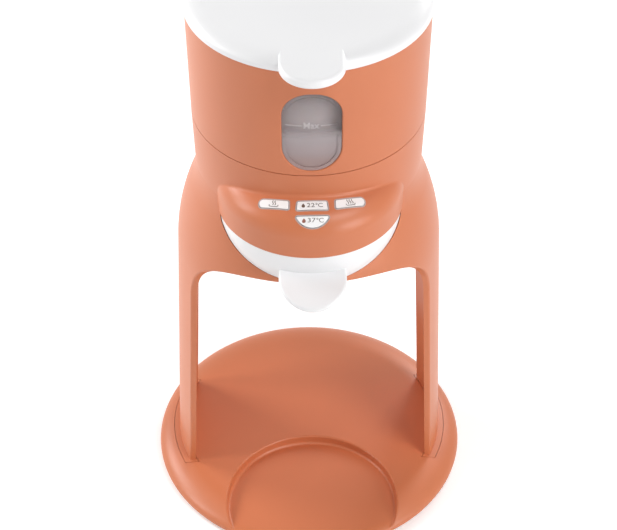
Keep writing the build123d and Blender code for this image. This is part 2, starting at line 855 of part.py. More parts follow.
def tray_form(inset=0.0, top=runner_top):
    half_width = tray_half_width - inset
    drop = tray_drop - inset
    edges = [
        EllipticalCenterArc((0, drawer_top), half_width, drop, 180, arc_size=180),
        Line((half_width, drawer_top), (-half_width, drawer_top)),
    ]
    back = drawer_back_y - inset
    length = extrude(Plane.XZ.offset(-back) * make_face(edges), 70)
    form = length & bowl_form(drawer_front_wall + fit_gap + inset)
    return form & disc(far, 0, top)


def make_drawer_tray():
    """Mixing cup that hangs behind the drawer front, with side flanges for the rails and an outlet."""
    cup = tray_form() - tray_form(tray_wall, drawer_top + 1)
    runners = block(
        -runner_reach, runner_reach, runner_front_y, runner_back_y, runner_top - runner_thickness, runner_top
    )
    runners -= block(-runner_reach + runner_width, runner_reach - runner_width, drawer_back_y, far, 0, far)
    runners -= tray_form(tray_wall, drawer_top + 1)
    tray_bottom = drawer_top - tray_drop
    collar = disc(outlet_radius + 1.2, tray_bottom, tray_bottom + outlet_collar, 0, outlet_y)
    return (cup + runners + collar) - disc(outlet_radius, 0, tray_bottom + tray_drop / 2, 0, outlet_y)


def make_drawer_rails():
    """Two channels that hold the tray's runners, hung under the chassis plate."""
    slot_bottom = runner_top - runner_thickness - fit_gap
    slot_reach = runner_reach + fit_gap
    lip_reach = runner_reach - runner_width / 2
    rails = []
    for side in (-1, 1):
        low_x, high_x = sorted((side * lip_reach, side * (slot_reach + rail_wall)))
        rail = block(
            low_x, high_x, runner_front_y + rail_start, runner_back_y, slot_bottom - rail_wall, chassis_bottom
        )
        low_x, high_x = sorted((side * (lip_reach - 5), side * slot_reach))
        rails.append(rail - block(low_x, high_x, -far, far, slot_bottom, runner_top + fit_gap))
    return apart(rails)


# ---- tank, sleeve and lid
def window_prism(grow=0.0):
    outline = RectangleRounded(window_width + 2 * grow, window_height + 2 * grow, window_corner + grow)
    return extrude(Plane.XZ.offset(20) * Pos(0, window_z) * outline, 60)


def make_tank_sleeve():
    sleeve = sleeve_form() - sleeve_form(sleeve_wall, sleeve_bottom - 1, sleeve_top + 1)
    flange_bottom = tank_flange_top - tank_flange_thickness
    sleeve -= sleeve_form(1.2, flange_bottom, sleeve_top + 1)
    lip_outer = band_top_radius - band_wall - 0.2
    lip = ring(lip_outer, lip_outer - 1.6, seat_top, sleeve_bottom + 1.2, 0, body_y)
    lip += ring(lip_outer + 1, lip_outer - 1.6, sleeve_bottom, sleeve_bottom + 1.2, 0, body_y)
    sleeve += lip
    sleeve -= window_prism()
    rim = [
        edge
        for edge in sleeve.edges()
        if abs(hypot((edge @ 0.5).X, (edge @ 0.5).Y - body_y) - sleeve_radius((edge @ 0.5).Z)) < 0.02
        and sleeve_bottom + 0.5 < (edge @ 0.5).Z < sleeve_top - 0.5
        and (edge @ 0.5).Y < 0
        and abs((edge @ 0.5).X) < window_width / 2 + 0.5
    ]
    return fillet(rim, window_edge_round)


def make_window_pane():
    """Smoky pane let into the sleeve, with a flange behind the sleeve's wall."""
    plug = (sleeve_form(0.5) - sleeve_form(0.5 + pane_thickness)) & window_prism(-0.2)
    inner = window_prism(-0.2 - pane_border)
    border = plug & (window_prism(-0.2) - inner)
    face = plug & inner & sleeve_form(1.0)
    flange = (sleeve_form(sleeve_wall + 0.1) - sleeve_form(sleeve_wall + 1.5)) & window_prism(pane_flange)
    return border + face + flange


def make_water_tank():
    """Deep cup hung by its flange in the sleeve's top, with an outlet port in its floor."""
    flange_bottom = tank_flange_top - tank_flange_thickness
    flange_radius = sleeve_radius(flange_bottom) - 1.2 - 0.2
    cup = disc(tank_radius, tank_floor, tank_flange_top, 0, body_y)
    cup = fillet(cup.edges().group_by(Axis.Z)[0], tank_corner)
    well = disc(tank_radius - tank_wall, tank_floor + tank_wall, tank_flange_top, 0, body_y)
    well = fillet(well.edges().group_by(Axis.Z)[0], tank_corner - tank_wall)
    cup += disc(flange_radius, flange_bottom, tank_flange_top, 0, body_y)
    foot_top = tank_floor + tank_wall / 2
    cup += ring(tank_foot_radius, tank_foot_radius - 2.5, seat_top, foot_top, 0, body_y)
    cup += disc(tank_port_radius, tank_port_bottom, tank_floor + tank_wall / 2, tank_port_x, tank_port_y)
    return cup - well - disc(tank_port_radius - 1, 0, far * 2, tank_port_x, tank_port_y)


def make_tank_outlet_seal():
    return ring(tank_port_radius + 2.2, tank_port_radius + 0.05, seat_top, tank_floor - 0.1, tank_port_x, tank_port_y)


def make_tank_seat():
    """Disc that carries the tank and shuts the water off from the parts below."""
    radius = band_top_radius - band_wall - 1.0
    seat = disc(radius, seat_top - seat_thickness, seat_top, 0, body_y)
    return seat - disc(hose_bore + hose_wall + 0.4, 0, far * 2, tank_port_x, tank_port_y)


lid_bottom = sleeve_top + lid_gap


def lid_form(wall=0.0):
    """Shallow dome with a soft shoulder, or with a wall its inside."""
    edge_top = lid_bottom + lid_edge_height
    centre_r = lid_radius - lid_shoulder_width
    shoulder_top = lid_shoulder_top - wall
    shoulder = EllipticalCenterArc(
        (centre_r, edge_top), lid_shoulder_width - wall, shoulder_top - edge_top, 0, arc_size=90
    )
    crown = Spline((centre_r, shoulder_top), (0, lid_crown - wall), tangents=[(-1, 0.04), (-1, 0)])
    edges = [
        Line((0, lid_bottom), (lid_radius - wall, lid_bottom)),
        Line((lid_radius - wall, lid_bottom), (lid_radius - wall, edge_top)),
        shoulder,
        crown,
        Line((0, lid_crown - wall), (0, lid_bottom)),
    ]
    return turned(edges, body_y)


def make_lid():
    """White lid with a thumb tab at the front and a skirt that drops into the tank."""
    tab_edges = [
        Line((-lid_tab_half_width, -30), (-lid_tab_half_width, lid_tab_y)),
        EllipticalCenterArc((0, lid_tab_y), lid_tab_half_width, lid_tab_reach, 180, arc_size=180),
        Line((lid_tab_half_width, lid_tab_y), (lid_tab_half_width, -30)),
        Line((lid_tab_half_width, -30), (-lid_tab_half_width, -30)),
    ]
    tab = extrude(Pos(0, 0, lid_tab_bottom) * make_face(tab_edges), lid_shoulder_top - lid_tab_bottom - 0.1)
    rim = [e for e in tab.edges() if e.center().Y < lid_tab_y - 0.5 or abs(e.center().X) > lid_tab_half_width - 0.1]
    rim = [e for e in rim if abs((e @ 0).Z - (e @ 1).Z) < 0.01]
    tab = fillet(rim, lid_tab_round)
    shell = (lid_form() + tab) - lid_form(lid_wall)
    skirt_bottom = sleeve_top - lid_skirt_drop
    skirt_top = lid_shoulder_top - lid_wall / 2
    skirt = ring(lid_skirt_radius, lid_skirt_radius - lid_skirt_wall, skirt_bottom, skirt_top, 0, body_y)
    groove_bottom = skirt_bottom + seal_groove
    groove_radius = lid_skirt_radius - lid_skirt_wall / 2
    groove = ring(lid_radius, groove_radius, groove_bottom, groove_bottom + seal_groove, 0, body_y)
    return shell + (skirt - groove)


def make_lid_seal():
    bottom = sleeve_top - lid_skirt_drop + seal_groove + 0.05
    outer = tank_radius - tank_wall - lid_gap
    inner = lid_skirt_radius - lid_skirt_wall / 2 + 0.05
    return ring(outer, inner, bottom, bottom + seal_groove - 0.1, 0, body_y)


# ---- water path and electrics
def make_chassis_plate():
    """Floor of the control housing, on posts, that carries pump, boiler and shower head."""
    radius = neck_radius - shell_wall - fit_gap
    plate = disc(radius, chassis_bottom, chassis_top, 0, body_y)
    plate -= disc(rose_radius + 0.4, 0, far, 0, rose_y)
    for x, y in around(neck_radius - chassis_post_inset, (4, 46, 134, 176), body_y):
        plate += disc(chassis_post_radius, floor_plate_top, chassis_bottom, x, y)
    return plate


def make_shower_head():
    """Spreads the warm water over the drawer: a chamber on the plate and a rose through it."""
    bottom = hood_bottom
    top = chassis_top + rose_height
    head = disc(rose_radius, bottom, chassis_top, 0, rose_y)
    head += disc(rose_flange_radius, chassis_top, top, 0, rose_y)
    head += disc(hose_bore - 0.1, top, top + nipple_length, 0, rose_y)
    head -= disc(rose_radius - rose_wall, bottom + rose_wall, top - rose_wall, 0, rose_y)
    head -= disc(hose_bore - 1.3, bottom + rose_wall, top + nipple_length + 1, 0, rose_y)
    for x, y in around(rose_radius / 2, range(0, 360, 60), rose_y):
        head -= disc(rose_hole_radius, 0, bottom + 2 * rose_wall, x, y)
    return head


def make_boiler():
    """Pressed steel canister with a rolled flange, on three feet, with a nipple for each hose."""
    can = disc(boiler_radius - 1.5, boiler_bottom, boiler_top, boiler_x, boiler_y)
    can = fillet(can.edges().filter_by(GeomType.CIRCLE), boiler_corner)
    middle = (boiler_bottom + boiler_top) / 2
    can += disc(boiler_radius, middle - 1, middle + 1, boiler_x, boiler_y)
    for x, y in around(boiler_radius * 0.65, (30, 150, 270)):
        can += disc(2.0, chassis_top, boiler_bottom + 4, boiler_x + x, boiler_y + y)
    for x, z in ((boiler_x, pump_z), (outlet_hose_x, outlet_hose_z)):
        can += along_y(hose_bore - 0.1, boiler_y - boiler_radius - nipple_length, boiler_y, x, z)
    return can


def make_thermostat():
    x, y = boiler_x + 6, boiler_y + 6
    return disc(7.0, boiler_top, boiler_top + 4.0, x, y) + disc(4.0, boiler_top, boiler_top + 6.0, x, y)


def make_temperature_probe():
    x, y = boiler_x - 8, boiler_y - 6
    return disc(2.2, boiler_top, boiler_top + 2.0, x, y) + disc(1.4, boiler_top, boiler_top + 6.0, x, y)


def along_y(radius, front, back, x, z):
    """Round bar along Y."""
    return extrude(Plane.XZ.offset(-front) * Pos(x, z) * Circle(radius), -(back - front))


def make_pump():
    """Solenoid pump: a coil yoke around a barrel, one nipple up to the tank, one to the front."""
    half_width = pump_radius + 1
    barrel = along_y(pump_radius, pump_front_y, pump_back_y, pump_x, pump_z)
    yoke = block(
        pump_x - half_width, pump_x + half_width, pump_front_y + 6, tank_port_y - 7,
        pump_z - pump_radius + 1.5, pump_z + half_width,
    )
    riser = disc(tank_port_radius, pump_z, tank_port_bottom - 1.0, pump_x, tank_port_y)
    outlet = along_y(hose_bore - 0.1, pump_front_y - nipple_length, pump_front_y + 1, pump_x, pump_z)
    return barrel + yoke + riser + outlet


def make_pump_cradle():
    """Rubber saddle between pump and chassis plate."""
    half_width = pump_radius + 1
    saddle = block(
        pump_x - half_width, pump_x + half_width, tank_port_y - 6, pump_back_y - 1, chassis_top, pump_z - 2
    )
    return saddle - along_y(pump_radius + 0.02, 0, pump_back_y + 5, pump_x, pump_z)


def make_inlet_hose():
    return ring(
        hose_bore + hose_wall, hose_bore, pump_z + pump_radius + 1.5, seat_top - 0.5, tank_port_x, tank_port_y
    )


def hose(points):
    """Tube of constant bore along straight runs joined by arcs."""
    path = FilletPolyline(*points, radius=hose_bend)
    start = Plane(origin=path @ 0, z_dir=path % 0)
    return sweep(start * (Circle(hose_bore + hose_wall) - Circle(hose_bore)), path=path)


def make_feed_hose():
    return hose(
        [
            (pump_x, pump_front_y - 0.4, pump_z),
            (pump_x, hose_run_y, pump_z),
            (boiler_x, hose_run_y, pump_z),
            (boiler_x, boiler_y - boiler_radius - 0.4, pump_z),
        ]
    )


def make_outlet_hose():
    return hose(
        [
            (outlet_hose_x, boiler_y - boiler_radius - 0.4, outlet_hose_z),
            (outlet_hose_x, rose_y, outlet_hose_z),
            (0, rose_y, outlet_hose_z),
            (0, rose_y, chassis_top + rose_height + 0.2),
        ]
    )


power_board_bottom = floor_plate_top + power_board_lift
power_board_y = body_y + power_board_back


def make_power_board():
    half_x, half_y = power_board_width / 2, power_board_depth / 2
    bottom = power_board_bottom
    board = block(-half_x, half_x, power_board_y - half_y, power_board_y + half_y, bottom, bottom + board_thickness)
    for x in (4 - half_x, half_x - 4):
        for y in (4 - half_y, half_y - 4):
            board += disc(2.2, floor_plate_top, bottom, x, power_board_y + y)
    return board


def make_board_components():
    """Transformer, relay, two capacitors and a terminal block."""
    top = power_board_bottom + board_thickness
    y = power_board_y
    tall = top + component_height
    return apart(
        [
            block(-22, -6, y - 10, y + 4, top, tall),
            block(0, 18, y - 10, y - 1, top, tall),
            disc(5.0, top, tall, 4, y + 7),
            disc(3.2, top, tall - 4, 15, y + 7),
            block(-22, -12, y + 7, y + 12, top, tall - 6),
        ]
    )


def make_power_inlet():
    """Two-pole appliance inlet in the back of the control housing."""
    face = body_y + neck_radius + 1.6
    inner = face - inlet_depth - 5
    half_w, half_h = inlet_width / 2, inlet_height / 2
    rim_w, rim_h = half_w + inlet_rim, half_h + inlet_rim
    body = block(-half_w, half_w, inner, face - 1.5, inlet_z - half_h, inlet_z + half_h)
    body += block(-rim_w, rim_w, face - 1.8, face, inlet_z - rim_h, inlet_z + rim_h)
    body -= band_form() - block(-half_w, half_w, 0, far, inlet_z - half_h, inlet_z + half_h)
    socket = SlotOverall(inlet_width - 3, inlet_height - 3)
    body -= extrude(Plane.XZ.offset(-(face - inlet_depth)) * Pos(0, inlet_z) * socket, -2 * inlet_depth)
    for x in (-3.2, 3.2):
        body += along_y(1.1, face - inlet_depth - 3, face - 4, x, inlet_z)
    return body


nodes = {
    "base_plate": make_base_plate,
    "base_bottom_cover": make_base_bottom_cover,
    "rubber_feet": make_rubber_feet,
    "base_screws": make_base_screws,
    "leg_screws": make_leg_screws,
    "leg_housing": make_leg_housing,
    "floor_plate": make_floor_plate,
    "floor_screws": make_floor_screws,
    "spout": make_spout,
    "chassis_plate": make_chassis_plate,
    "control_housing": make_control_housing,
    "button_surrounds": make_button_surrounds,
    "button_left": lambda: make_button("button_left"),
    "button_centre": lambda: make_button("button_centre"),
    "button_right": lambda: make_button("button_right"),
    "button_lower": lambda: make_button("button_lower"),
    "hood_floor": make_hood_floor,
    "button_board": make_button_board,
    "tact_switches": make_tact_switches,
    "drawer_front": make_drawer_front,
    "drawer_tray": make_drawer_tray,
    "drawer_rails": make_drawer_rails,
    "tank_sleeve": make_tank_sleeve,
    "window_pane": make_window_pane,
    "water_tank": make_water_tank,
    "tank_outlet_seal": make_tank_outlet_seal,
    "tank_seat": make_tank_seat,
    "lid": make_lid,
    "lid_seal": make_lid_seal,
    "shower_head": make_shower_head,
    "boiler": make_boiler,
    "thermostat": make_thermostat,
    "temperature_probe": make_temperature_probe,
    "pump": make_pump,
    "pump_cradle": make_pump_cradle,
    "inlet_hose": make_inlet_hose,
    "feed_hose": make_feed_hose,
    "outlet_hose": make_outlet_hose,
    "power_board": make_power_board,
    "board_components": make_board_components,
    "power_inlet": make_power_inlet,
}

os.makedirs("parts", exist_ok=True)
for name, make in nodes.items():
    export_step(make(), os.path.join("parts", name + ".step"))
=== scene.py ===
from math import cos, pi, radians, sin, tan

import bpy
import numpy as np
from mathutils import Matrix, Vector


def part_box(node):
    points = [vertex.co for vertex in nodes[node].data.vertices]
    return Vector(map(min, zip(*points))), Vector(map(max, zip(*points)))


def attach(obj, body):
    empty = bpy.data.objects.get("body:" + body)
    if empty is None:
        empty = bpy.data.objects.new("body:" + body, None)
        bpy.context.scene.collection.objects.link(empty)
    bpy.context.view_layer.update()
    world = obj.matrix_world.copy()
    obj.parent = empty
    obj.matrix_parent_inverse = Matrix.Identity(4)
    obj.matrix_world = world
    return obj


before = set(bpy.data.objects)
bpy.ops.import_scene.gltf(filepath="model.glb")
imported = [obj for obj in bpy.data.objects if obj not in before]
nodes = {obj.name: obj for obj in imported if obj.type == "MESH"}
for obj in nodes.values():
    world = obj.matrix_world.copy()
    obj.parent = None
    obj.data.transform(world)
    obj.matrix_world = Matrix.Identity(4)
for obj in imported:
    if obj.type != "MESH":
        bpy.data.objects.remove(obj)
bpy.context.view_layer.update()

# ---- Camera
# A long lens looks down on the appliance from in front, a hair to the left of its middle.
# Its focal length and the picture's shift are in pixels of a picture 617 wide and 530 high.
picture_width = 617
focal_pixels = 1834.2
shift_pixels = 5.54
camera_place = Vector((-0.0195, -0.716129, 0.779217))
camera_right = Vector((0.9996147, -0.0277408, -0.0009505))
camera_up = Vector((0.0193560, 0.6721140, 0.7401946))
camera_back = camera_right.cross(camera_up)
camera_data = bpy.data.cameras.new("camera")
camera_data.sensor_width = 36.0
camera_data.lens = focal_pixels * camera_data.sensor_width / picture_width
camera_data.shift_y = shift_pixels / picture_width
camera = bpy.data.objects.new("camera", camera_data)
turn = Matrix((camera_right, camera_up, camera_back)).transposed().to_4x4()
camera.matrix_world = Matrix.Translation(camera_place) @ turn
bpy.context.scene.collection.objects.link(camera)
bpy.context.scene.camera = camera
bpy.context.scene.view_settings.view_transform = "Standard"


# ---- Studio
# A white seamless floor in a dim white room, with two softboxes on the left and three on the right.
# The background is white by its own colour, for the camera and in gloss and glass.
# The floor has a light of its own too, seen directly only, which grows away from the appliance.
def seen_directly(tree):
    """A socket that is 1 for camera, gloss and glass rays, and 0 where light falls on things."""
    rays = tree.nodes.new("ShaderNodeLightPath")
    total = rays.outputs["Is Camera Ray"]
    for kind in ("Is Glossy Ray", "Is Transmission Ray"):
        either = tree.nodes.new("ShaderNodeMath")
        either.operation = "ADD"
        either.use_clamp = True
        tree.links.new(total, either.inputs[0])
        tree.links.new(rays.outputs[kind], either.inputs[1])
        total = either.outputs[0]
    return total


world = bpy.data.worlds.new("studio")
bpy.context.scene.world = world
world.use_nodes = True
sky = world.node_tree
sky.nodes.clear()
room_light = sky.nodes.new("ShaderNodeBackground")
room_light.inputs["Color"].default_value = (1.0, 0.99, 0.98, 1.0)
room_light.inputs["Strength"].default_value = 0.25
backdrop = sky.nodes.new("ShaderNodeBackground")
backdrop.inputs["Color"].default_value = (1.0, 1.0, 1.0, 1.0)
backdrop.inputs["Strength"].default_value = 1.0
room_or_backdrop = sky.nodes.new("ShaderNodeMixShader")
sky_out = sky.nodes.new("ShaderNodeOutputWorld")
sky.links.new(seen_directly(sky), room_or_backdrop.inputs["Fac"])
sky.links.new(room_light.outputs[0], room_or_backdrop.inputs[1])
sky.links.new(backdrop.outputs[0], room_or_backdrop.inputs[2])
sky.links.new(room_or_backdrop.outputs[0], sky_out.inputs["Surface"])


lamps_aim = Vector((0.0, 0.0, 0.15))


def soft_lamp(name, place, width, height, watts):
    """A rectangular softbox at place, facing lamps_aim."""
    data = bpy.data.lights.new(name, "AREA")
    data.shape = "RECTANGLE"
    data.size = width
    data.size_y = height
    data.energy = watts
    lamp = bpy.data.objects.new(name, data)
    aim = (lamps_aim - Vector(place)).to_track_quat("-Z", "Y")
    lamp.matrix_world = Matrix.Translation(place) @ aim.to_matrix().to_4x4()
    bpy.context.scene.collection.objects.link(lamp)


soft_lamp("left_softbox", (-1.144, -0.120, 0.638), width=0.28, height=0.55, watts=5.4)
soft_lamp("left_rear_softbox", (-0.974, 0.518, 0.737), width=0.45, height=0.45, watts=7.6)
soft_lamp("right_rear_softbox", (0.562, 0.973, 0.698), width=0.45, height=0.45, watts=4.8)
soft_lamp("right_low_softbox", (0.875, -0.875, 0.324), width=0.45, height=0.45, watts=5.8)
soft_lamp("right_high_softbox", (0.544, -0.544, 1.135), width=0.5, height=0.5, watts=5.8)


def white_floor():
    """Matt white paint whose own light grows smoothly from near the origin to far from it."""
    near, far = 0.4, 1.6
    near_glow, far_glow = 0.28, 0.9
    material = bpy.data.materials.new("white_floor")
    material.use_nodes = True
    tree = material.node_tree
    shader = tree.nodes["Principled BSDF"]
    shader.inputs["Base Color"].default_value = (0.95, 0.95, 0.95, 1.0)
    shader.inputs["Roughness"].default_value = 0.9
    shader.inputs["Emission Color"].default_value = (1.0, 1.0, 1.0, 1.0)
    place = tree.nodes.new("ShaderNodeTexCoord")
    distance = tree.nodes.new("ShaderNodeVectorMath")
    distance.operation = "LENGTH"
    own_light = tree.nodes.new("ShaderNodeMapRange")
    own_light.interpolation_type = "SMOOTHSTEP"
    own_light.inputs["From Min"].default_value = near
    own_light.inputs["From Max"].default_value = far
    own_light.inputs["To Min"].default_value = near_glow
    own_light.inputs["To Max"].default_value = far_glow
    glow = tree.nodes.new("ShaderNodeMath")
    glow.operation = "MULTIPLY"
    tree.links.new(place.outputs["Object"], distance.inputs[0])
    tree.links.new(distance.outputs["Value"], own_light.inputs["Value"])
    tree.links.new(seen_directly(tree), glow.inputs[0])
    tree.links.new(own_light.outputs["Result"], glow.inputs[1])
    tree.links.new(glow.outputs[0], shader.inputs["Emission Strength"])
    return material


floor_half = 3.0
floor_height = -0.0005  # just clear of the rubber feet
quarters = ((-1, -1), (1, -1), (1, 1), (-1, 1))
floor_corners = [(x * floor_half, y * floor_half, floor_height) for x, y in quarters]
floor_mesh = bpy.data.meshes.new("floor")
floor_mesh.from_pydata(floor_corners, [], [(0, 1, 2, 3)])
floor_mesh.materials.append(white_floor())
floor = bpy.data.objects.new("floor", floor_mesh)
bpy.context.scene.collection.objects.link(floor)


# ---- Base: rolled-edge plate and the flat cover under it
# Injection-moulded ABS with a fine spark-eroded grain, so its gloss breaks up a little.
# The cover closes the hollow plate from below and is held by four screws.
def moulded_grain_group():
    """Fine grain as a height, and a slow variation of roughness and colour, from object coordinates."""
    group = bpy.data.node_groups.new("moulded_grain", "ShaderNodeTree")
    for label, way, kind in (
        ("Tint", "INPUT", "NodeSocketColor"),
        ("Grain Scale", "INPUT", "NodeSocketFloat"),
        ("Least Roughness", "INPUT", "NodeSocketFloat"),
        ("Roughness Spread", "INPUT", "NodeSocketFloat"),
        ("Shade Spread", "INPUT", "NodeSocketFloat"),
        ("Color", "OUTPUT", "NodeSocketColor"),
        ("Roughness", "OUTPUT", "NodeSocketFloat"),
        ("Height", "OUTPUT", "NodeSocketFloat"),
    ):
        group.interface.new_socket(label, in_out=way, socket_type=kind)
    made, link = group.nodes.new, group.links.new
    entry, leaving = made("NodeGroupInput"), made("NodeGroupOutput")
    place = made("ShaderNodeTexCoord")
    grain = made("ShaderNodeTexNoise")
    grain.inputs["Detail"].default_value = 3.0
    grain.inputs["Roughness"].default_value = 0.6
    link(place.outputs["Object"], grain.inputs["Vector"])
    link(entry.outputs["Grain Scale"], grain.inputs["Scale"])
    cloud = made("ShaderNodeTexNoise")
    cloud.inputs["Scale"].default_value = 22.0
    cloud.inputs["Detail"].default_value = 2.0
    link(place.outputs["Object"], cloud.inputs["Vector"])
    roughness = made("ShaderNodeMath")
    roughness.operation = "MULTIPLY_ADD"
    link(cloud.outputs["Fac"], roughness.inputs[0])
    link(entry.outputs["Roughness Spread"], roughness.inputs[1])
    link(entry.outputs["Least Roughness"], roughness.inputs[2])
    centred = made("ShaderNodeMath")
    centred.operation = "SUBTRACT"
    centred.inputs[1].default_value = 0.5
    link(cloud.outputs["Fac"], centred.inputs[0])
    shade = made("ShaderNodeMath")
    shade.operation = "MULTIPLY_ADD"
    shade.inputs[2].default_value = 1.0
    link(centred.outputs[0], shade.inputs[0])
    link(entry.outputs["Shade Spread"], shade.inputs[1])
    tinted = made("ShaderNodeVectorMath")
    tinted.operation = "SCALE"
    link(entry.outputs["Tint"], tinted.inputs[0])
    link(shade.outputs[0], tinted.inputs["Scale"])
    link(tinted.outputs["Vector"], leaving.inputs["Color"])
    link(roughness.outputs[0], leaving.inputs["Roughness"])
    link(grain.outputs["Fac"], leaving.inputs["Height"])
    return group


moulded_grain = moulded_grain_group()


def moulded(
    name,
    tint,
    roughness,
    grain_depth=0.00001,
    grain_scale=2600.0,
    roughness_spread=0.06,
    shade_spread=0.05,
):
    """A moulded material of one tint: plastic, rubber or silicone, by its least roughness and its grain."""
    material = bpy.data.materials.new(name)
    material.use_nodes = True
    tree = material.node_tree
    shader = tree.nodes["Principled BSDF"]
    grain = tree.nodes.new("ShaderNodeGroup")
    grain.node_tree = moulded_grain
    grain.inputs["Tint"].default_value = (*tint, 1.0)
    grain.inputs["Grain Scale"].default_value = grain_scale
    grain.inputs["Least Roughness"].default_value = roughness
    grain.inputs["Roughness Spread"].default_value = roughness_spread
    grain.inputs["Shade Spread"].default_value = shade_spread
    bump = tree.nodes.new("ShaderNodeBump")
    bump.inputs["Distance"].default_value = grain_depth
    tree.links.new(grain.outputs["Color"], shader.inputs["Base Color"])
    tree.links.new(grain.outputs["Roughness"], shader.inputs["Roughness"])
    tree.links.new(grain.outputs["Height"], bump.inputs["Height"])
    tree.links.new(bump.outputs["Normal"], shader.inputs["Normal"])
    return material


def dress(material, *names):
    """Gives CAD pieces a material in place of their plain one."""
    for name in names:
        data = nodes[name].data
        data.materials.clear()
        data.materials.append(material)


terracotta = moulded("terracotta_plastic", (0.59, 0.178, 0.074), roughness=0.36)
dress(terracotta, "base_plate", "base_bottom_cover")

# ---- Feet under the base, and the pump's cradle
# Four soft rubber pads, moulded separately and pressed into round pockets of the cover.
# The cradle is the same rubber. Fine dust sits in its open grain, which dulls and greys it.
rubber = moulded(
    "foot_rubber",
    (0.045, 0.045, 0.047),
    roughness=0.72,
    grain_depth=0.00003,
    grain_scale=1400.0,
    roughness_spread=0.12,
    shade_spread=0.35,
)
dress(rubber, "rubber_feet", "pump_cradle")


# ---- Screws
# Zinc-plated pan-head screws: four in the base, four up into the legs and four in the body's floor.
# The plating is thin and slightly uneven, so its shine varies.
def metal_finish(name, tint, smoothest, roughest, scale, depth, squeeze=1.0):
    """Metal with one noise for its roughness and height: a mottle, or drawn lines if squeezed along Z."""
    material = bpy.data.materials.new(name)
    material.use_nodes = True
    tree = material.node_tree
    shader = tree.nodes["Principled BSDF"]
    shader.inputs["Base Color"].default_value = (*tint, 1.0)
    shader.inputs["Metallic"].default_value = 1.0
    place = tree.nodes.new("ShaderNodeTexCoord")
    squeezed = tree.nodes.new("ShaderNodeMapping")
    squeezed.inputs["Scale"].default_value = (1.0, 1.0, squeeze)
    marks = tree.nodes.new("ShaderNodeTexNoise")
    marks.inputs["Scale"].default_value = scale
    marks.inputs["Detail"].default_value = 4.0
    roughness = tree.nodes.new("ShaderNodeMapRange")
    roughness.inputs["To Min"].default_value = smoothest
    roughness.inputs["To Max"].default_value = roughest
    bump = tree.nodes.new("ShaderNodeBump")
    bump.inputs["Distance"].default_value = depth
    tree.links.new(place.outputs["Object"], squeezed.inputs["Vector"])
    tree.links.new(squeezed.outputs["Vector"], marks.inputs["Vector"])
    tree.links.new(marks.outputs["Fac"], roughness.inputs["Value"])
    tree.links.new(roughness.outputs["Result"], shader.inputs["Roughness"])
    tree.links.new(marks.outputs["Fac"], bump.inputs["Height"])
    tree.links.new(bump.outputs["Normal"], shader.inputs["Normal"])
    return material


zinc = metal_finish(
    "zinc_plate", (0.62, 0.63, 0.65), smoothest=0.3, roughest=0.48, scale=900.0, depth=0.00001
)
dress(zinc, "base_screws", "leg_screws", "floor_screws")

# ---- Legs, shoulders and the floor that closes the body from below
# One tall moulding makes both crescent legs and the shoulders; the floor is screwed in from below.
# Same terracotta ABS and grain as the base.
dress(terracotta, "leg_housing", "floor_plate")

# ---- Parts inside the body
# Chassis plate, drawer rails, hood floor, spout and shower head are plain grey polypropylene.
# The tank's seat is the same in pale red. The moulds were left rougher than the outer shells'.
inner_plastic = moulded(
    "inner_plastic",
    (0.27, 0.27, 0.28),
    roughness=0.55,
    grain_depth=0.00002,
    grain_scale=1500.0,
    roughness_spread=0.1,
    shade_spread=0.12,
)
dress(inner_plastic, "chassis_plate", "drawer_rails", "hood_floor", "spout", "shower_head")
seat_plastic = moulded(
    "seat_plastic",
    (0.85, 0.46, 0.38),
    roughness=0.5,
    grain_depth=0.00002,
    grain_scale=1500.0,
    roughness_spread=0.1,
    shade_spread=0.1,
)
dress(seat_plastic, "tank_seat")

# ---- Water path
# A solenoid pump draws from the tank, a steel boiler warms the water, and silicone hoses join them.
# The hoses are milky and slightly tacky; the boiler is drawn steel with circular draw marks.
boiler_steel = metal_finish(
    "boiler_steel",
    (0.66, 0.65, 0.64),
    smoothest=0.24,
    roughest=0.42,
    scale=60.0,
    depth=0.00002,
    squeeze=30.0,
)
dress(boiler_steel, "boiler")
probe_steel = metal_finish(
    "probe_steel",
    (0.75, 0.75, 0.76),
    smoothest=0.15,
    roughest=0.3,
    scale=300.0,
    depth=0.00001,
    squeeze=8.0,
)
dress(probe_steel, "temperature_probe")
pump_enamel = moulded(
    "pump_enamel",
    (0.07, 0.08, 0.1),
    roughness=0.38,
    grain_depth=0.00003,
    grain_scale=800.0,
    roughness_spread=0.15,
    shade_spread=0.2,
)
dress(pump_enamel, "pump")


def milky(name, tint, roughness, scatter, reach):
    """Cloudy soft plastic or silicone: light goes a little way in, and fine haze dulls the surface."""
    material = moulded(
        name,
        tint,
        roughness,
        grain_depth=0.000008,
        grain_scale=1800.0,
        roughness_spread=0.08,
        shade_spread=0.04,
    )
    shader = material.node_tree.nodes["Principled BSDF"]
    shader.inputs["Subsurface Weight"].default_value = scatter
    shader.inputs["Subsurface Scale"].default_value = reach
    return material


silicone = milky("milky_silicone", (0.78, 0.77, 0.74), roughness=0.42, scatter=0.35, reach=0.002)
dress(silicone, "inlet_hose", "feed_hose", "outlet_hose", "lid_seal", "tank_outlet_seal")


